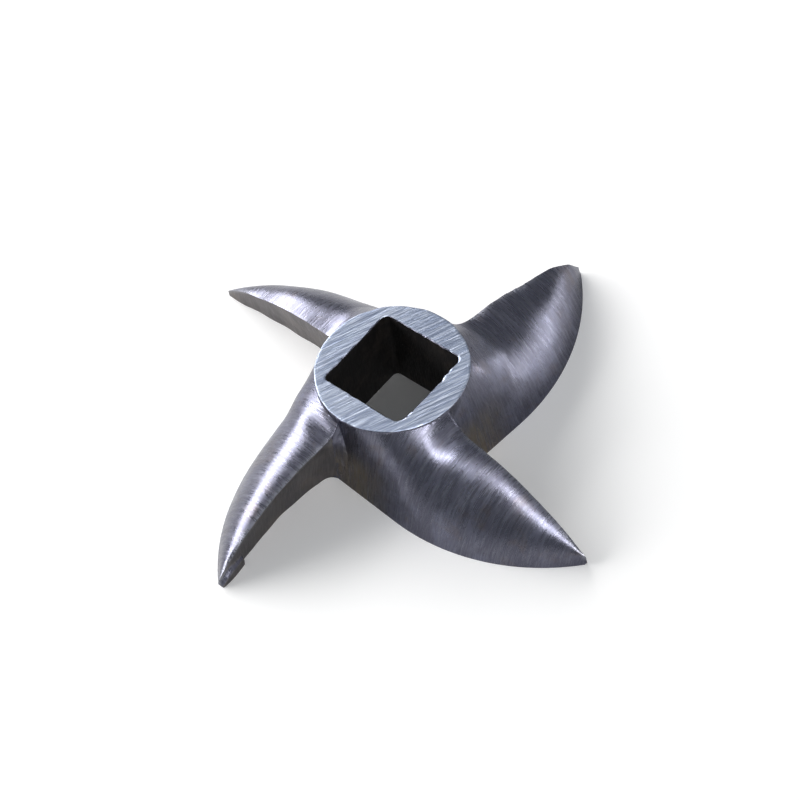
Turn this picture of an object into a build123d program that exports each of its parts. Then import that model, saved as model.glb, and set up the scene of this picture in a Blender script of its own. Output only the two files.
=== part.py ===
"""Four-bladed knife for a meat grinder, cast in one piece and ground flat on its cutting face.

The knife lies with its cutting face on the XY plane and its hub pointing up. The origin is where
the axis of the square drive hole meets the cutting face. Lengths are in millimetres, and angles
are in degrees.

A blade is described in its own frame: X runs outward from the axis to the blade's tip, the front
wall of the blade stands near the XZ plane, and its rounded back swells out towards -Y.
"""

from build123d import *

import os
from math import atan2, cos, degrees, hypot, radians, sin, sqrt, tan

# Square drive hole, which slips over the squared end of the feed screw
hole_side = 14.0
hole_corner_radius = 0.5

# Hub, a short cylinder with its top face ground flat
hub_diameter = 22.4
hub_height = 13.8

# Blades, seen along the axis
blade_count = 4
blade_turn = -5.65
swing_diameter = 73.2
back_offset = 12.66
back_arc_start = 11.06
tip_width = 0.4

# Crest of a blade, where its back meets its front wall: an arc through three heights
shoulder_reach = 14.0
shoulder_height = 10.0
mid_reach = 26.0
mid_height = 7.75
tip_height = 1.25

# Section of a blade: the lean of its front wall, the angle at which its back leaves the cutting
# face, the slope up from its crest to its crown, and how square its shoulder is
wall_lean = 11.5
back_angle_root = 84.0
back_angle_tip = 60.0
crown_slope = 8.0
fullness_root = 0.90
fullness_blade = 0.48
fullness_start = 1.0
fullness_end = 13.0

# Rise of the blade to the hub: how far under the hub's top face it ends, how wide it is, and the
# notch where it ends lower beside the front wall of the next blade, between two angles
rim_step = 0.45
rise_width = 5.5
rise_power = 3
rise_share = 0.8
notch_depth = 2.2
notch_start = 72.0
notch_end = 88.0

# Each blade starts inside the blade ahead of it, and is lofted through evenly spaced sections
root_depth = 2.4
section_pitch = 1.6
section_spans = 12
halvings = 20

# Web that rounds the valley between a blade's front wall and the back of the next blade: the
# radius of its hollow face, how far that face sinks into both blades, and its height
valley_radius = 1.9
valley_bite = 0.08
valley_height = 10.2

# Stock that the casting carries below the cutting face, and that is ground away
grinding_stock = 1.0

hub_radius = hub_diameter / 2
tip_reach = swing_diameter / 2
wall_slope = tan(radians(wall_lean))
crest_arc = ThreePointArc(
    (shoulder_reach, shoulder_height), (mid_reach, mid_height), (tip_reach, tip_height)
)


def eased(value, start, end):
    """Cubic step from 0 to 1 as a value goes from start to end."""
    share = min(1, max(0, (value - start) / (end - start)))
    return share**2 * (3 - 2 * share)


def crest_height(reach):
    """Height of the crest's arc, which stays level from its highest point in to the hub."""
    centre = crest_arc.arc_center
    return centre.Y + sqrt(crest_arc.radius**2 - max(reach - centre.X, 0) ** 2)


def back_line(reach):
    """Y of the back's edge on the cutting face: a straight run, then an arc in to the tip."""
    run = tip_reach - back_arc_start
    depth = back_offset - tip_width
    arc_radius = (run**2 + depth**2) / (2 * depth)
    return arc_radius - back_offset - sqrt(arc_radius**2 - max(reach - back_arc_start, 0) ** 2)


def back_corners(reach):
    """Y and Z of the four control points of the back's Bezier curve, from the crest down."""
    crest = crest_height(reach)
    outward = max(reach, 0) / tip_reach
    angle = radians(back_angle_root + (back_angle_tip - back_angle_root) * outward)
    fullness = fullness_root + (fullness_blade - fullness_root) * eased(
        reach, fullness_start, fullness_end
    )
    shoulder = -fullness * back_line(reach)
    shoulder_top = crest + shoulder * tan(radians(crown_slope))
    swell = fullness * (shoulder_top + grinding_stock) / sin(angle)
    foot = back_line(reach) - grinding_stock / tan(angle)
    return [
        Vector(0, crest),
        Vector(-shoulder, shoulder_top),
        Vector(foot + swell * cos(angle), swell * sin(angle) - grinding_stock),
        Vector(foot, -grinding_stock),
    ]


def raised(reach, side, height):
    """Height of a point of the back once the casting's rise to the hub is added to it."""
    radius = max(hypot(reach, side), rim_step)
    turn = degrees(atan2(-side, reach))
    rim = hub_height - rim_step - notch_depth * eased(turn, notch_start, notch_end)
    room = -back_line(reach) * radius / max(-side, rim_step) - hub_radius
    width = max(rim_step, min(rise_width, rise_share * room))
    outside = max(radius - hub_radius, -2 * rim_step)
    share = max(0, 1 - outside / width)
    return height + (rim - height) * share**rise_power


def back_point(reach, share):
    """Point of the back at a reach, at a share of the way from the crest to the lower edge."""
    points = back_corners(reach)
    while len(points) > 1:
        points = [near + (far - near) * share for near, far in zip(points, points[1:])]
    side, height = points[0].X, points[0].Y
    return Vector(reach, side, raised(reach, side, height))


def back_side(reach, height):
    """Y of the back at a reach and a height, found by halving the way down from the crest."""
    above, below = 0, 1
    for _ in range(halvings):
        middle = (above + below) / 2
        if back_point(reach, middle).Z > height:
            above = middle
        else:
            below = middle
    return back_point(reach, below).Y


def blade_section(reach):
    """Closed section across the blade at a reach: a spline over a leaning front wall."""
    shares = [step / section_spans for step in range(section_spans + 1)]
    back = Edge.make_spline([back_point(reach, share) for share in shares], parameters=shares)
    outward = max(0, (reach - hub_radius) / (tip_reach - hub_radius))
    lean = wall_slope * (1 - outward**4)
    wall_foot = Vector(reach, -(crest_height(reach) + grinding_stock) * lean, -grinding_stock)
    return Face(Wire([Line(wall_foot, back @ 0), back, Line(back @ 1, wall_foot)]))


def blade():
    """One blade, lofted, ground flat below, and bored clear of the drive hole."""
    steps = round((tip_reach + root_depth) / section_pitch)
    pitch = (tip_reach + root_depth) / steps
    casting = loft([blade_section(step * pitch - root_depth) for step in range(steps + 1)])
    ground = split(casting, bisect_by=Plane.XY, keep=Keep.TOP)
    topped = split(ground, bisect_by=Plane.XY.offset(hub_height - rim_step / 2), keep=Keep.BOTTOM)
    core_radius = (hub_radius + hole_side / sqrt(2)) / 2
    return topped - Cylinder(core_radius, 4 * hub_height)


def hub():
    """Plain cylinder with the square drive hole, its corners slightly rounded."""
    hole = Rectangle(hole_side, hole_side)
    hole = fillet(hole.vertices(), hole_corner_radius)
    return extrude(Circle(hub_radius) - hole, hub_height)


def valley_web():
    """Prism that leans with the valley, hollowed by a cylinder, and cut off level at its top."""
    foot = Vector(-shoulder_height * wall_slope, -back_offset, 0)
    head = Vector(
        (valley_height - shoulder_height) * wall_slope,
        back_side(valley_radius, valley_height),
        valley_height,
    )
    across = Plane(origin=foot * 2 - head, x_dir=(1, 0, 0), z_dir=head - foot)
    reach = valley_radius - valley_bite
    backing = valley_radius / 2
    block = Rectangle(reach + backing, reach + backing, align=(Align.MIN, Align.MAX))
    hollow = Pos(reach, -reach) * Circle(valley_radius)
    web = extrude(across * (Pos(-backing, backing) * block - hollow), 3 * (head - foot).length)
    standing = split(web, bisect_by=Plane.XY, keep=Keep.TOP)
    return split(standing, bisect_by=Plane.XY.offset(valley_height), keep=Keep.BOTTOM)


pieces = [blade(), valley_web()]
turns = [blade_turn + number * 360 / blade_count for number in range(blade_count)]
knife = hub().fuse(*[piece.rotate(Axis.Z, turn) for turn in turns for piece in pieces])

os.makedirs("parts", exist_ok=True)
export_step(knife, "parts/knife.step")
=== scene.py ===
"""Looks of a four-bladed meat grinder knife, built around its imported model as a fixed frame."""

import math

import bpy
import numpy as np
from mathutils import Matrix, Vector


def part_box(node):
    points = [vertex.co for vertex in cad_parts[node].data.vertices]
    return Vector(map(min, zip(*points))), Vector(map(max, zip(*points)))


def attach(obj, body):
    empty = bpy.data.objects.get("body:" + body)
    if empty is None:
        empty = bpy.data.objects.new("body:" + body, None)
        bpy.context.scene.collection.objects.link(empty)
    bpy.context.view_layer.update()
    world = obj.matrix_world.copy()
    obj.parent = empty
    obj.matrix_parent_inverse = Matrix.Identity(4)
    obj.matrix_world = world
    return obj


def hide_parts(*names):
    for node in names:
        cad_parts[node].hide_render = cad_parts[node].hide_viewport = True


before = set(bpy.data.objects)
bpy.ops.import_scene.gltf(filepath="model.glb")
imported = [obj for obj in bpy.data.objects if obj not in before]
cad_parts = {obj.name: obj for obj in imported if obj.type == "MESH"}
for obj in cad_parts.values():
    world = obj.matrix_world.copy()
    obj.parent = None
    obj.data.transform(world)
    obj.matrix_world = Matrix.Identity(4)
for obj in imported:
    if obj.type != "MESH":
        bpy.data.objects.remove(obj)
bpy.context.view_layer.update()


# ---------------------------------------------------------------------------------------------
# Blades: four of them, cast in one piece with the hub, and swept round it like a pinwheel.
# Steel, ground smooth by hand on their rounded backs and left rougher on their front walls.
# Each is a closed shell in millimetres, with X out to its tip and its back towards -Y.

mm = 0.001
knife_low, knife_high = np.array(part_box("knife"))
hub_height = knife_high[2] / mm
hub_radius = 11.2
tip_reach = 36.6

# Plan of a blade: its turn about the hub, its back's lower edge, and the reach and height of its
# crest at its shoulder, middle and tip
blade_count = 4
blade_turn = math.radians(-5.65)
back_offset = 12.66
back_arc_start = 11.06
tip_width = 0.4
shoulder = (14.0, 10.0)
middle = (26.0, 7.75)
tip = (tip_reach, 1.25)

# Section of a blade: the lean of its front wall, the angle at which its back leaves the cutting
# face, the slope up from its crest to its crown, and how square its shoulder is
wall_slope = math.tan(math.radians(11.5))
back_angle_root = math.radians(84.0)
back_angle_tip = math.radians(60.0)
crown_slope = math.tan(math.radians(8.0))
fullness_root = 0.90
fullness_blade = 0.48
fullness_reaches = (3.0, 20.0)

# Rise of a back to the hub, its notch beside the next blade, and the turns, in degrees from
# the crest, over which the rise softens and the notch deepens
rim_step = 0.35
rise_width = 5.5
rise_share = 0.8
rise_power = 3
rise_softening = 1.3
rise_turns = (4, 26)
notch_depth = 2.2
notch_turns = (72, 88)

# Rounding of the valley between a front wall and the next back: its radius, how fast that grows
# with height, and the heights between which it fades out
valley_radius = 1.9
valley_growth = 0.22
valley_fade = (12.9, 4.5)

# Wear of each blade: one is full at its tip and chipped, one has a low crest, one has a stub at
# its foot and a low shoulder, and one stays thin below its crest, so its valley starts lower
full_tipped, low_crested, stubbed, thin_walled = range(blade_count)
tip_swell = 0.85
chip_depth = 0.13
chip_reaches = ((22.4, 22.9, 23.6, 24.4), (24.2, 24.6, 25.6, 26.4))
low_root = 0.5
low_crest = 0.65
stub_size = 0.65
foot_hollow = 0.35
low_shoulder = 1.3
edge_band = 1.5
thin_band = 5.0


def smooth(low, high, value):
    """Cubic step from 0 to 1 as a value goes from low to high."""
    share = np.clip((value - low) / (high - low), 0, 1)
    return share**2 * (3 - 2 * share)


def ripple(points, height, wavelength, seed, waves=14):
    """Gentle unevenness of a height: a sum of plane sine waves in seeded directions."""
    dice = np.random.default_rng(seed)
    fronts = dice.normal(size=(3, waves))
    lengths = wavelength * np.linalg.norm(fronts, axis=0) * dice.uniform(0.6, 1.6, waves)
    fronts *= math.tau / lengths
    starts = dice.uniform(0, math.tau, waves)
    return height * (np.sin(points @ fronts + starts).sum(axis=-1) / math.sqrt(waves))


def circle_through(first, second, third):
    """Centre and radius of the circle through three points."""
    rows = np.array([second, third]) - np.array(first)
    centre = np.linalg.solve(2 * rows, np.sum(rows**2, axis=1))
    return centre + first, np.linalg.norm(centre)


def crest_height(reach):
    """Height of the crest: a circle's arc through three points, level in from its highest one."""
    centre, radius = circle_through(shoulder, middle, tip)
    return centre[1] + np.sqrt(radius**2 - np.maximum(reach - centre[0], 0) ** 2)


def back_line(reach):
    """Y of the back's lower edge: a straight run, then a circle's arc in to the tip."""
    run = tip_reach - back_arc_start
    depth = back_offset - tip_width
    radius = (run**2 + depth**2) / (2 * depth)
    return radius - back_offset - np.sqrt(radius**2 - np.maximum(reach - back_arc_start, 0) ** 2)


def back_surface(reach, across):
    """Y and Z of the rounded back. Across it, from crest (0) to lower edge (1), runs a cubic
    Bezier curve. Beside the hub it is raised to just under the rim, by a power of the share of
    the way in to the hub, and the power falls as the back turns away from the crest."""
    edge = back_line(reach)
    crest = crest_height(reach)
    outward = np.maximum(reach, 0) / tip_reach
    angle = back_angle_root + (back_angle_tip - back_angle_root) * outward
    fullness = fullness_root + (fullness_blade - fullness_root) * smooth(*fullness_reaches, reach)

    over_y = fullness * edge
    over_z = crest - over_y * crown_slope
    handle = fullness * over_z / np.sin(angle)
    under_y = edge + handle * np.cos(angle)
    under_z = handle * np.sin(angle)
    rest = 1 - across
    y = 3 * rest**2 * across * over_y + 3 * rest * across**2 * under_y + across**3 * edge
    z = rest**3 * crest + 3 * rest**2 * across * over_z + 3 * rest * across**2 * under_z

    radius = np.maximum(np.hypot(reach, y), rim_step)
    turn = np.degrees(np.arctan2(-y, reach))
    room = -edge * radius / np.maximum(-y, rim_step) - hub_radius
    width = np.clip(rise_share * room, rim_step, rise_width)
    rim = hub_height - rim_step - notch_depth * smooth(*notch_turns, turn)
    power = rise_power - rise_softening * smooth(*rise_turns, turn)
    inside_hub = -0.9
    outside = np.maximum(radius - hub_radius, inside_hub)
    rise = np.clip(1 - outside / width, 0, None) ** power
    z = z + rise * (rim - z)
    return y, np.minimum(z, hub_height - rim_step / 2)


def worn(number, reach, height):
    """What hand grinding and use did to one blade, in millimetres: how far its whole crest and its
    bare edge stand high at a reach, and how far its front wall's foot stands out at a height.
    Each is a sum of cubic steps and of the ripple that every hand-ground surface keeps."""
    along = np.column_stack([reach.ravel(), np.full(reach.size, 90.0 * number), 0 * reach.ravel()])
    edge = ripple(along, height=0.05, wavelength=3.0, seed=11 + number).reshape(reach.shape)
    edge = edge * smooth(11, 14, reach)
    foot = ripple(along, height=0.08, wavelength=5.0, seed=31 + number).reshape(reach.shape)
    foot = foot + 0 * height
    crest = 0 * reach
    if number == full_tipped:
        crest = tip_swell * smooth(26.5, 32, reach) * smooth(36.7, 34.6, reach)
        for start, deepest, rising, end in chip_reaches:
            edge = edge - chip_depth * smooth(start, deepest, reach) * smooth(end, rising, reach)
    if number == low_crested:
        crest = -low_root * smooth(15.5, 11.5, reach) - low_crest * smooth(34, 28, reach)
    if number == stubbed:
        stub = smooth(31.4, 31.8, reach) * smooth(2.6, 1.0, height)
        hollow = smooth(14, 20, reach) * smooth(30, 26, reach)
        foot = foot + stub_size * stub - foot_hollow * hollow
        crest = -low_shoulder * smooth(14.8, 11.4, reach)
    return crest, edge, foot


def blade_shell(number, rows=170, back_columns=64, wall_columns=34, under_columns=8):
    """Closed shell of one blade: a grid of points with rows out along the blade and columns round
    it, up the front wall, over the back and home along the flat underside. Where the wall nears
    the next blade's back, it turns out to meet it along a circle, up to the valley's top."""
    root_reach = -1.2
    halfway = 16
    inner = np.linspace(root_reach, halfway, rows // 2)
    outer = np.linspace(halfway, tip_reach, rows - len(inner) + 1)[1:]
    reach = np.concatenate([inner, outer])[:, None]

    crowding = 1.15
    across = np.linspace(0, 1, back_columns)[None] ** crowding
    back_y, back_z = back_surface(reach, across)
    crest_lift, edge_lift, _ = worn(number, reach, 0 * reach)
    back_z = back_z + crest_lift * (1 - across) ** 3 + edge_lift * smooth(0.10, 0, across)
    grid = np.stack(np.broadcast_arrays(reach, back_y, back_z), axis=-1)
    hand = ripple(grid + 200 * number, height=0.05, wavelength=7.0, seed=5)
    back_z = np.maximum(back_z + hand * smooth(1, 4, back_z), 0)
    crest = back_z[:, :1]

    wall_z = crest * np.linspace(0, 1, wall_columns + 1)[None, :-1]
    outward = np.clip((reach - hub_radius) / (tip_reach - hub_radius), 0, 1)
    wall_y = -wall_slope * (1 - outward**4) * np.maximum(crest_height(reach) - wall_z, 0)
    ahead_y, ahead_z = back_surface(np.zeros((1, 1)), np.linspace(0, 1, 200)[None])
    next_back = np.interp(wall_z, ahead_z[0, ::-1], -ahead_y[0, ::-1])
    radius = valley_radius + valley_growth * wall_z
    short_of_upright = 0.03
    sunk = np.clip(next_back + radius - reach, 0, radius - short_of_upright)
    flare = radius - np.sqrt(radius**2 - sunk**2)
    band = thin_band if number == thin_walled else edge_band
    wall_y = wall_y + flare * smooth(0, band, crest - wall_z) * smooth(*valley_fade, wall_z)
    _, _, foot = worn(number, reach, wall_z)
    wall_y = wall_y + foot * smooth(0, edge_band, crest - wall_z) * smooth(12.5, 14.5, reach)

    under = np.linspace(0, 1, under_columns)[None, 1:-1]
    under_y = back_y[:, -1:] * (1 - under) + wall_y[:, :1] * under
    y = np.concatenate([wall_y, back_y, under_y], axis=1)
    z = np.concatenate([wall_z, back_z, 0 * under_y], axis=1)
    points = np.stack([np.broadcast_to(reach, y.shape), y, z], axis=-1)

    order = np.arange(y.size).reshape(y.shape)
    near, far = order[:-1], order[1:]
    quads = np.stack([near, np.roll(near, -1, 1), np.roll(far, -1, 1), far], axis=-1)
    faces = quads.reshape(-1, 4).tolist() + [order[0].tolist()[::-1], order[-1].tolist()]
    return points.reshape(-1, 3), faces


def mesh_object(name, points, faces):
    """Mesh object from points in millimetres, with its place in its mesh."""
    mesh = bpy.data.meshes.new(name)
    mesh.from_pydata((points * mm).tolist(), [], faces)
    made = bpy.data.objects.new(name, mesh)
    bpy.context.scene.collection.objects.link(made)
    return made


def turned(points, angle):
    """Points turned about the Z axis."""
    cosine, sine = math.cos(angle), math.sin(angle)
    return points @ np.array([[cosine, sine, 0], [-sine, cosine, 0], [0, 0, 1]])


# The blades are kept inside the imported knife's box, which their ripple would leave
blade_angles = [blade_turn + number * math.tau / blade_count for number in range(blade_count)]
blades = []
for number, angle in enumerate(blade_angles):
    points, faces = blade_shell(number)
    points = np.clip(turned(points, angle), knife_low / mm, knife_high / mm)
    blades.append(mesh_object(f"blade_{number}", points, faces))


# ---------------------------------------------------------------------------------------------
# Hub: the short cylinder in the middle, whose square hole slips over the feed screw's end.
# Steel, cast in one piece with the blades, broached through and ground flat on top. So it is
# joined to the blades here, and then the whole casting gets its finishes.

# Hole, the ragged edge that the broach left, and the rim, whose rounding is dented
hole_half = 7.0
hole_corner = 0.9
lip_width = 0.12
lip_least = 0.04
lip_most = 0.25
lip_steepness = 0.8
rag_start = 0.45
rag_depth = 2.2
rim_round = 0.22
rim_least = 0.3
rim_most = 2.2
core_radius = 10.6
core_margin = 2.0
crease = math.radians(38)


def ring_shell(rings):
    """Closed shell through rings of points, each joined to the next and the last to the first."""
    points = np.stack(rings)
    order = np.arange(points.shape[0] * points.shape[1]).reshape(points.shape[:2])
    above = np.roll(order, -1, 0)
    quads = np.stack([order, np.roll(order, -1, 1), np.roll(above, -1, 1), above], axis=-1)
    return points.reshape(-1, 3), quads.reshape(-1, 4).tolist()


def hub_shell(spokes=720):
    """Shell of the hub: rings up the outside, round the rim, in across the top to the square
    hole, down the hole and back out along the underside. The hole's broached edge is ragged, and
    its raggedness fades down the hole. The rim is rounded by a quarter circle of varying size."""
    turn = np.linspace(0, math.tau, spokes, endpoint=False)
    circle = np.stack([np.cos(turn), np.sin(turn)], axis=-1)
    square = hole_half / np.maximum(abs(circle[:, 0]), abs(circle[:, 1]))[:, None] * circle
    inner = np.clip(square, hole_corner - hole_half, hole_half - hole_corner)
    away = square - inner
    length = np.maximum(np.linalg.norm(away, axis=1, keepdims=True), 1e-9)
    square = inner + away / length * np.minimum(length, hole_corner)

    on_hole = np.column_stack([square, np.zeros(spokes)])
    on_rim = np.column_stack([circle * hub_radius, 0 * turn])
    fine_rag = ripple(on_hole, height=0.05, wavelength=1.8, seed=3)
    broad_rag = ripple(on_hole, height=0.09, wavelength=5.0, seed=4)
    ragged = (fine_rag + broad_rag)[:, None]
    burr = ripple(on_hole, height=0.05, wavelength=1.4, seed=8)
    lip = np.clip(lip_width + burr, lip_least, lip_most)[:, None]
    dents = ripple(on_rim, height=0.5, wavelength=3.0, seed=9)
    rim = rim_round * np.clip(1 + dents, rim_least, rim_most)[:, None]

    def ring(outline, height):
        """Ring of points along an outline, at one height or at a height for each of them."""
        level = np.full(spokes, height) if np.isscalar(height) else height
        return np.column_stack([outline, level])

    def hole(height, widened=0.0):
        """The hole's outline at a height, ragged near the top."""
        fade = smooth(hub_height - rag_depth, hub_height, height)
        return square * (1 + (ragged * fade + widened) / hole_half)

    outer = circle * hub_radius
    under_rim = hub_height - 2.4 * rim_round
    under_rag = hub_height - 2.8
    rings = [ring(outer, height) for height in np.linspace(0, under_rim, 26)]
    rings += [ring(circle * (hub_radius - rim * (1 - math.cos(step))),
                   hub_height - rim * (1 - math.sin(step)))
              for step in np.linspace(0, math.pi / 2, 5)[1:]]
    face_outer, face_inner = circle * (hub_radius - rim), hole(hub_height, lip)
    rings += [ring((1 - share) * face_outer + share * face_inner, hub_height)
              for share in np.linspace(0, 1, 14)[1:]]
    rings += [ring(hole(hub_height), hub_height - lip * lip_steepness)]
    rings += [ring(hole(height), height)
              for height in (hub_height - rag_start - rag_depth * np.linspace(0, 1, 9))]
    rings += [ring(square, height) for height in np.linspace(under_rag, 0, 18)]
    rings += [ring((1 - share) * square + share * outer, 0.0)
              for share in np.linspace(0, 1, 6)[1:-1]]
    return ring_shell(rings)


def core_shell(spokes=96):
    """Closed cylinder that clears the blades out of the hub's middle before they are joined."""
    turn = np.linspace(0, math.tau, spokes, endpoint=False)
    outline = np.stack([np.cos(turn), np.sin(turn)], axis=-1) * core_radius
    points = np.concatenate([np.column_stack([outline, np.full(spokes, height)])
                             for height in (-core_margin, hub_height + core_margin)])
    low = np.arange(spokes)
    sides = np.stack([low, np.roll(low, -1), np.roll(low, -1) + spokes, low + spokes], axis=-1)
    return points, sides.tolist() + [low[::-1].tolist(), (low + spokes).tolist()]


def join(piece, other, operation):
    """Boolean of one closed shell with another, live until the pieces are put together."""
    step = piece.modifiers.new(operation.lower(), "BOOLEAN")
    step.operation = operation
    step.solver = "MANIFOLD"
    step.object = other


knife = mesh_object("knife_casting", *hub_shell())
core = mesh_object("core", *core_shell())
for blade in blades:
    join(blade, core, "DIFFERENCE")
    join(knife, blade, "UNION")
bpy.context.view_layer.update()
depsgraph = bpy.context.evaluated_depsgraph_get()
casting = bpy.data.meshes.new_from_object(knife.evaluated_get(depsgraph))
knife.modifiers.clear()
knife.data = casting
for helper in (*blades, core):
    bpy.data.objects.remove(helper)
knife.data.shade_smooth()
knife.data.set_sharp_from_angle(angle=crease)


def blade_places(points):
    """Number of the blade that each point in millimetres lies on, and its place in that blade's
    own frame. It lies on the blade whose plan outline it stands out of least."""
    places = np.stack([turned(points, -angle) for angle in blade_angles])
    reach, side = places[..., 0], places[..., 1]
    leeway = 0.02
    behind_axis = 40
    outside = np.maximum(side - leeway, back_line(np.clip(reach, 0, tip_reach)) - side)
    outside = outside + behind_axis * (reach < 0)
    number = outside.argmin(axis=0)
    return number, places[number, np.arange(len(points))]


def gathered(collection, name):
    """One vector for each vertex or face of a mesh, as an array of rows."""
    values = np.empty(len(collection) * 3)
    collection.foreach_get(name, values)
    return values.reshape(-1, 3)


def store(name, kind, values):
    """Keep values as an attribute of the knife's points, for its materials to read."""
    layer = knife.data.attributes.new(name, kind, "POINT")
    layer.data.foreach_set("vector" if kind == "FLOAT_VECTOR" else "value", values.ravel())


# The blades' places are set apart along X, so that no two blades have the same pattern, and the
# painted reflection of a brown tabletop on their roots fades between two reaches and two heights
blade_spacing = (70.0, 0, 0)
root_reaches = (11, 3)
root_heights = (9.5, 5.0)
corners = gathered(knife.data.vertices, "co") / mm
number, place = blade_places(corners)
edge_gap = np.hypot(place[:, 1], place[:, 2] - crest_height(np.clip(place[:, 0], 0, tip_reach)))
store("blade_place", "FLOAT_VECTOR", place + np.outer(number, blade_spacing))
store("edge_gap", "FLOAT", edge_gap)
root_table_reflection = smooth(*root_reaches, place[:, 0]) * smooth(*root_heights, corners[:, 2])
store("root_table_reflection", "FLOAT", root_table_reflection)


def feed(tree, socket, value):
    """Link an output to a socket, or give the socket a plain value."""
    if isinstance(value, bpy.types.NodeSocket):
        tree.links.new(value, socket)
    else:
        socket.default_value = value


def node(tree, kind, inputs=(), **settings):
    """New node with settings, and with links or plain values for its inputs."""
    made = tree.nodes.new(kind)
    for name, value in settings.items():
        setattr(made, name, value)
    for socket, value in dict(inputs).items():
        feed(tree, made.inputs[socket], value)
    return made


def placed(tree, group, **inputs):
    """A node group placed in a material, with its inputs set."""
    return node(tree, "ShaderNodeGroup", inputs, node_tree=group)


def spread(tree, value, low, high, first=0.0, last=1.0):
    """Output that runs evenly from first to last as a value goes from low to high."""
    return node(tree, "ShaderNodeMapRange", {
        "Value": value, "From Min": low, "From Max": high, "To Min": first, "To Max": last,
    }).outputs["Result"]


def blended(tree, share, first, last):
    """Colour that goes from first to last by a share."""
    return node(tree, "ShaderNodeMix", {0: share, 6: first, 7: last}, data_type="RGBA").outputs[2]


def reckoned(tree, operation, first, second):
    """Two values added, subtracted, multiplied or divided."""
    return node(tree, "ShaderNodeMath", {0: first, 1: second}, operation=operation).outputs[0]


def product(tree, first, second):
    """Product of two values."""
    return reckoned(tree, "MULTIPLY", first, second)


def bumped(tree, height, strength, distance, normal=None):
    """Normal of a surface with a height pressed into it, on top of another normal."""
    made = node(tree, "ShaderNodeBump", {"Height": height, "Strength": strength,
                "Distance": distance})
    if normal is not None:
        tree.links.new(normal, made.inputs["Normal"])
    return made.outputs["Normal"]


def new_group(name, inputs, outputs):
    """Empty shader node group with named sockets: each input has a kind and a first value."""
    group = bpy.data.node_groups.new(name, "ShaderNodeTree")
    for socket, kind, first in inputs:
        made = group.interface.new_socket(socket, in_out="INPUT", socket_type=kind)
        made.default_value = first
    for socket, kind in outputs:
        group.interface.new_socket(socket, in_out="OUTPUT", socket_type=kind)
    start = group.nodes.new("NodeGroupInput")
    end = group.nodes.new("NodeGroupOutput")
    return group, start, end


def new_material(name):
    """Node material, its tree and its shader."""
    material = bpy.data.materials.new(name)
    material.use_nodes = True
    return material, material.node_tree, material.node_tree.nodes["Principled BSDF"]


# Scratches: noise pulled out along one axis, and cut at a level into fine lines of varying
# strength. The sharper they are, the narrower the band of noise that they fade over.
scratches, start, end = new_group(
    "scratches",
    [("Place", "NodeSocketVector", (0, 0, 0)), ("Stretch", "NodeSocketVector", (1, 1, 1)),
     ("Sharpness", "NodeSocketFloat", 0.12)],
    [("Lines", "NodeSocketFloat"), ("Height", "NodeSocketFloat")],
)
line_level = 0.56
pulled = node(scratches, "ShaderNodeVectorMath", {0: start.outputs["Place"],
              1: start.outputs["Stretch"]}, operation="MULTIPLY").outputs[0]
noise = node(scratches, "ShaderNodeTexNoise", {"Vector": pulled, "Scale": 1.0, "Detail": 3.0,
             "Roughness": 0.65, "Distortion": 0.25}).outputs["Fac"]
low = reckoned(scratches, "SUBTRACT", line_level, start.outputs["Sharpness"])
high = reckoned(scratches, "ADD", line_level, start.outputs["Sharpness"])
scratches.links.new(spread(scratches, noise, low, high), end.inputs["Lines"])
scratches.links.new(noise, end.inputs["Height"])

# Mottle: cloudy patches of a size in millimetres, such as heat tint, oil and old dirt leave.
mottle, start, end = new_group(
    "mottle",
    [("Place", "NodeSocketVector", (0, 0, 0)), ("Size", "NodeSocketFloat", 6.0),
     ("Cover", "NodeSocketFloat", 0.5)],
    [("Patches", "NodeSocketFloat")],
)
patch_level = 0.62
patch_fade = 0.22
scale = reckoned(mottle, "DIVIDE", 1.0, start.outputs["Size"])
noise = node(mottle, "ShaderNodeTexNoise", {"Vector": start.outputs["Place"], "Scale": scale,
             "Detail": 4.0, "Roughness": 0.6, "Distortion": 0.6}).outputs["Fac"]
edge = reckoned(mottle, "SUBTRACT", patch_level, start.outputs["Cover"])
above_edge = reckoned(mottle, "SUBTRACT", noise, edge)
mottle.links.new(spread(mottle, above_edge, 0.0, patch_fade), end.inputs["Patches"])


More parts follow.
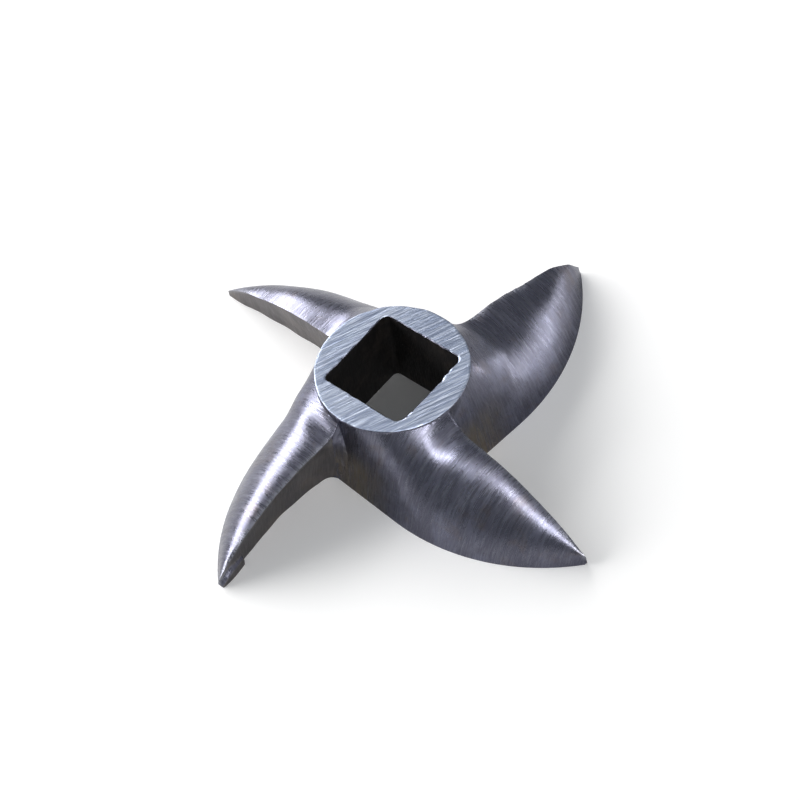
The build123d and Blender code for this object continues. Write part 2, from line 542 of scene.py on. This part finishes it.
def blade_steel(name, dark, light, brown, reflected_table_brown, scratch_light, rough):
    """Hand-ground steel of the blades: fine scratches across each blade, blue-violet and brown
    tints in soft patches, a painted reflection of a brown tabletop in streaks on their roots, and
    a painted highlight of paler metal along the crest's edge."""
    material, tree, shader = new_material(name)
    place = node(tree, "ShaderNodeAttribute", attribute_name="blade_place").outputs["Vector"]
    gap = node(tree, "ShaderNodeAttribute", attribute_name="edge_gap").outputs["Fac"]
    root = node(tree, "ShaderNodeAttribute", attribute_name="root_table_reflection").outputs["Fac"]
    fine = placed(tree, scratches, Place=place, Stretch=(5.5, 0.35, 0.35), Sharpness=0.10)
    coarse = placed(tree, scratches, Place=place, Stretch=(2.2, 0.22, 0.22), Sharpness=0.14)
    grain = placed(tree, scratches, Place=place, Stretch=(6.0, 4.0, 4.0), Sharpness=0.2)
    clouds = placed(tree, mottle, Place=place, Size=7.0, Cover=0.14).outputs["Patches"]
    stains = placed(tree, mottle, Place=place, Size=4.0, Cover=0.06).outputs["Patches"]

    streaks = spread(tree, coarse.outputs["Height"], 0.3, 0.62, 0.35, 1.0)
    edge_highlight = spread(tree, gap, 0.75, 0.1)
    colour = blended(tree, clouds, dark, light)
    # Painted reflection: brown streaks on the roots stand in for the wooden tabletop they mirror
    colour = blended(tree, product(tree, root, streaks), colour, reflected_table_brown)
    colour = blended(tree, product(tree, stains, 0.55), colour, brown)
    colour = blended(tree, product(tree, fine.outputs["Lines"], 0.25), colour, scratch_light)
    # Painted highlight: paler metal in a narrow band along the crest's edge
    colour = blended(tree, product(tree, edge_highlight, 0.35), colour, (0.42, 0.43, 0.47, 1))
    feed(tree, shader.inputs["Base Color"], colour)

    uneven = spread(tree, coarse.outputs["Height"], 0.3, 0.75, rough - 0.06, rough + 0.12)
    feed(tree, shader.inputs["Roughness"], uneven)
    shader.inputs["Metallic"].default_value = 1.0
    normal = bumped(tree, fine.outputs["Height"], 0.55, 0.05 * mm)
    normal = bumped(tree, grain.outputs["Height"], 0.5, 0.04 * mm, normal)
    normal = bumped(tree, coarse.outputs["Height"], 0.4, 0.06 * mm, normal)
    feed(tree, shader.inputs["Normal"], normal)
    return material


def face_steel(line_angle):
    """Flat-ground steel of the hub's face and the cutting face: bright, with straight lines."""
    material, tree, shader = new_material("face_steel")
    place = node(tree, "ShaderNodeTexCoord").outputs["Object"]
    place = node(tree, "ShaderNodeMapping", {"Vector": place, "Rotation": (0, 0, line_angle),
                 "Scale": (1 / mm, 1 / mm, 1 / mm)}).outputs["Vector"]
    fine = placed(tree, scratches, Place=place, Stretch=(0.16, 5.0, 1.0), Sharpness=0.10)
    broad = placed(tree, scratches, Place=place, Stretch=(0.12, 1.3, 1.0), Sharpness=0.14)
    clouds = placed(tree, mottle, Place=place, Size=9.0, Cover=0.12).outputs["Patches"]
    colour = blended(tree, clouds, (0.26, 0.30, 0.40, 1), (0.36, 0.40, 0.50, 1))
    colour = blended(tree, product(tree, broad.outputs["Lines"], 0.5), colour,
                     (0.16, 0.19, 0.28, 1))
    colour = blended(tree, product(tree, fine.outputs["Lines"], 0.5), colour,
                     (0.62, 0.66, 0.72, 1))
    feed(tree, shader.inputs["Base Color"], colour)
    feed(tree, shader.inputs["Roughness"],
         spread(tree, fine.outputs["Height"], 0.3, 0.7, 0.32, 0.5))
    shader.inputs["Metallic"].default_value = 1.0
    normal = bumped(tree, fine.outputs["Height"], 0.6, 0.05 * mm)
    normal = bumped(tree, broad.outputs["Height"], 0.6, 0.15 * mm, normal)
    feed(tree, shader.inputs["Normal"], normal)
    return material


def hole_steel():
    """Broached walls of the drive hole: nearly black, as a painted shade of the deep hole, and
    rough, with marks along the hole.
    """
    material, tree, shader = new_material("hole_steel")
    place = node(tree, "ShaderNodeTexCoord").outputs["Object"]
    place = node(tree, "ShaderNodeMapping", {"Vector": place,
                 "Scale": (1 / mm, 1 / mm, 1 / mm)}).outputs["Vector"]
    marks = placed(tree, scratches, Place=place, Stretch=(3.0, 3.0, 0.3), Sharpness=0.14)
    dirt = placed(tree, mottle, Place=place, Size=3.0, Cover=0.14).outputs["Patches"]
    # Painted shade: both colours are nearly black, for the shade down in the hole
    colour = blended(tree, dirt, (0.020, 0.018, 0.018, 1), (0.05, 0.04, 0.035, 1))
    feed(tree, shader.inputs["Base Color"], colour)
    feed(tree, shader.inputs["Roughness"],
         spread(tree, marks.outputs["Height"], 0.3, 0.7, 0.45, 0.7))
    shader.inputs["Metallic"].default_value = 0.6
    feed(tree, shader.inputs["Normal"], bumped(tree, marks.outputs["Height"], 0.6, 0.1 * mm))
    return material


back_steel = blade_steel(
    "back_steel", dark=(0.130, 0.130, 0.170, 1), light=(0.190, 0.195, 0.26, 1),
    brown=(0.16, 0.125, 0.11, 1), reflected_table_brown=(0.25, 0.215, 0.165, 1),
    scratch_light=(0.34, 0.35, 0.40, 1), rough=0.265,
)
# The front walls' steel is rougher, as the real walls are, and its lighter, browner colour is a
# painted reflection of a wooden tabletop
wall_steel = blade_steel(
    "wall_steel", dark=(0.17, 0.16, 0.165, 1), light=(0.23, 0.21, 0.205, 1),
    brown=(0.19, 0.15, 0.11, 1), reflected_table_brown=(0.21, 0.18, 0.145, 1),
    scratch_light=(0.34, 0.33, 0.33, 1), rough=0.46,
)
finishes = [back_steel, wall_steel, face_steel(math.radians(24)), hole_steel()]
knife.data.materials.clear()
for material in finishes:
    knife.data.materials.append(material)

# Each face takes its finish from where it lies and which way it faces. Steep and level are limits
# on the upright part of its normal, and wall_lead on the part that points to the blade's front.
on_back, on_wall, on_face, in_hole = range(len(finishes))
steep = 0.4
level = 0.8
wall_lead = 0.45
top_depth = 0.3
under_depth = 0.01
hole_leeway = 0.3
middles = gathered(knife.data.polygons, "center") / mm
normals = gathered(knife.data.polygons, "normal")
number, place = blade_places(middles)
facing = np.stack([turned(normals, -angle) for angle in blade_angles])
facing = facing[number, np.arange(len(normals))]
near_hole = abs(middles[:, :2]).max(axis=1) < hole_half + hole_leeway
at_end = (middles[:, 2] > hub_height - top_depth) | (middles[:, 2] < under_depth)
past_hub = place[:, 0] > hub_radius
slots = np.where((facing[:, 1] > wall_lead) & past_hub & (facing[:, 2] < steep), on_wall, on_back)
slots = np.where(near_hole & (abs(normals[:, 2]) < steep), in_hole, slots)
slots = np.where(at_end & (abs(normals[:, 2]) > level), on_face, slots)
knife.data.polygons.foreach_set("material_index", slots.astype(np.int32))

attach(knife, "root")
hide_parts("knife")


# ---------------------------------------------------------------------------------------------
# Floor: the plain tabletop that the knife lies loose on. A board painted matt and pale, made as
# one flat face. It is lifted towards white for the camera, but not down in the drive hole, so the
# floor seen there stays darker, as a painted shade.

floor_reach = 3.0
floor_lift = 0.22
shade_radius = 10.0 * mm
shade_edge = 0.5 * mm

square = ((-1, -1), (1, -1), (1, 1), (-1, 1))
floor_mesh = bpy.data.meshes.new("floor")
floor_mesh.from_pydata([(x * floor_reach, y * floor_reach, 0) for x, y in square], [],
                       [(0, 1, 2, 3)])
floor = bpy.data.objects.new("floor", floor_mesh)
bpy.context.scene.collection.objects.link(floor)

paint, tree, shader = new_material("pale_floor")
shader.inputs["Base Color"].default_value = (0.86, 0.85, 0.84, 1)
shader.inputs["Roughness"].default_value = 0.8
seen = node(tree, "ShaderNodeLightPath").outputs["Is Camera Ray"]
place = node(tree, "ShaderNodeTexCoord").outputs["Object"]
out = node(tree, "ShaderNodeVectorMath", {0: place}, operation="LENGTH").outputs["Value"]
# Painted shade: no lift within the drive hole's radius, so the floor there stays darker
around = spread(tree, out, shade_radius, shade_radius + shade_edge, 0.0, floor_lift)
feed(tree, shader.inputs["Emission Color"], product(tree, seen, around))
shader.inputs["Emission Strength"].default_value = 1.0
floor.data.materials.append(paint)


# ---------------------------------------------------------------------------------------------
# Light: a pale, even sky and three soft lamps, which stand in the air clear of the floor. A wide
# window behind the knife gives the long highlights, a narrow strip overhead adds a streak, and a
# low panel fills in from the side. The strip shows in reflections, and doesn't light matt things.

world = bpy.data.worlds.new("studio")
bpy.context.scene.world = world
world.use_nodes = True
world.node_tree.nodes["Background"].inputs["Color"].default_value = (0.9, 0.95, 1.0, 1)
world.node_tree.nodes["Background"].inputs["Strength"].default_value = 0.28

camera_azimuth = math.radians(-41.96)


def direction(azimuth, elevation):
    """Unit vector towards an azimuth and an elevation, in radians, azimuth 0 being -Y."""
    level = math.cos(elevation)
    return Vector((math.sin(azimuth) * level, -math.cos(azimuth) * level, math.sin(elevation)))


def softbox(name, azimuth, elevation, distance, size, power):
    """Oblong lamp that faces the knife from an azimuth past the camera's and an elevation, both
    in degrees, and from a distance in metres."""
    lamp = bpy.data.lights.new(name, "AREA")
    lamp.shape = "RECTANGLE"
    lamp.size, lamp.size_y = size
    lamp.energy = power
    made = bpy.data.objects.new(name, lamp)
    towards = direction(camera_azimuth + math.radians(azimuth), math.radians(elevation))
    made.location = towards * distance
    made.rotation_euler = towards.to_track_quat("Z", "Y").to_euler()
    bpy.context.scene.collection.objects.link(made)
    return made


softbox("window", -131, 28, 1.0, (1.7, 0.46), 24)
overhead = softbox("overhead", 28, 58, 0.9, (0.26, 1.25), 9)
overhead.visible_diffuse = False
softbox("side", 96, 6, 1.1, (0.7, 0.22), 2.5)


# ---------------------------------------------------------------------------------------------
# Camera: a long lens that looks steeply down on the knife, and is rolled a little to one side.
# It stands still, and everything is sharp. Its focal length is in pixels of a square picture.

camera_elevation = math.radians(52.84)
camera_roll = math.radians(10.70)
camera_distance = 0.6497
camera_target = Vector((0.003304, 0.003320, 0.0))
focal_pixels = 4500
picture_pixels = 800

away = direction(camera_azimuth, camera_elevation)
right = (-away).cross(Vector((0, 0, 1))).normalized()
down = (-away).cross(right)
rolled_right = math.cos(camera_roll) * right + math.sin(camera_roll) * down
rolled_down = -math.sin(camera_roll) * right + math.cos(camera_roll) * down
camera_data = bpy.data.cameras.new("camera")
camera_data.sensor_width = 36.0
camera_data.lens = camera_data.sensor_width * focal_pixels / picture_pixels
camera_data.clip_start = 0.01
camera = bpy.data.objects.new("camera", camera_data)
axes = Matrix((rolled_right, -rolled_down, away)).transposed().to_4x4()
camera.matrix_world = Matrix.Translation(camera_target + camera_distance * away) @ axes
bpy.context.scene.collection.objects.link(camera)
bpy.context.scene.camera = camera
bpy.context.scene.view_settings.view_transform = "Standard"
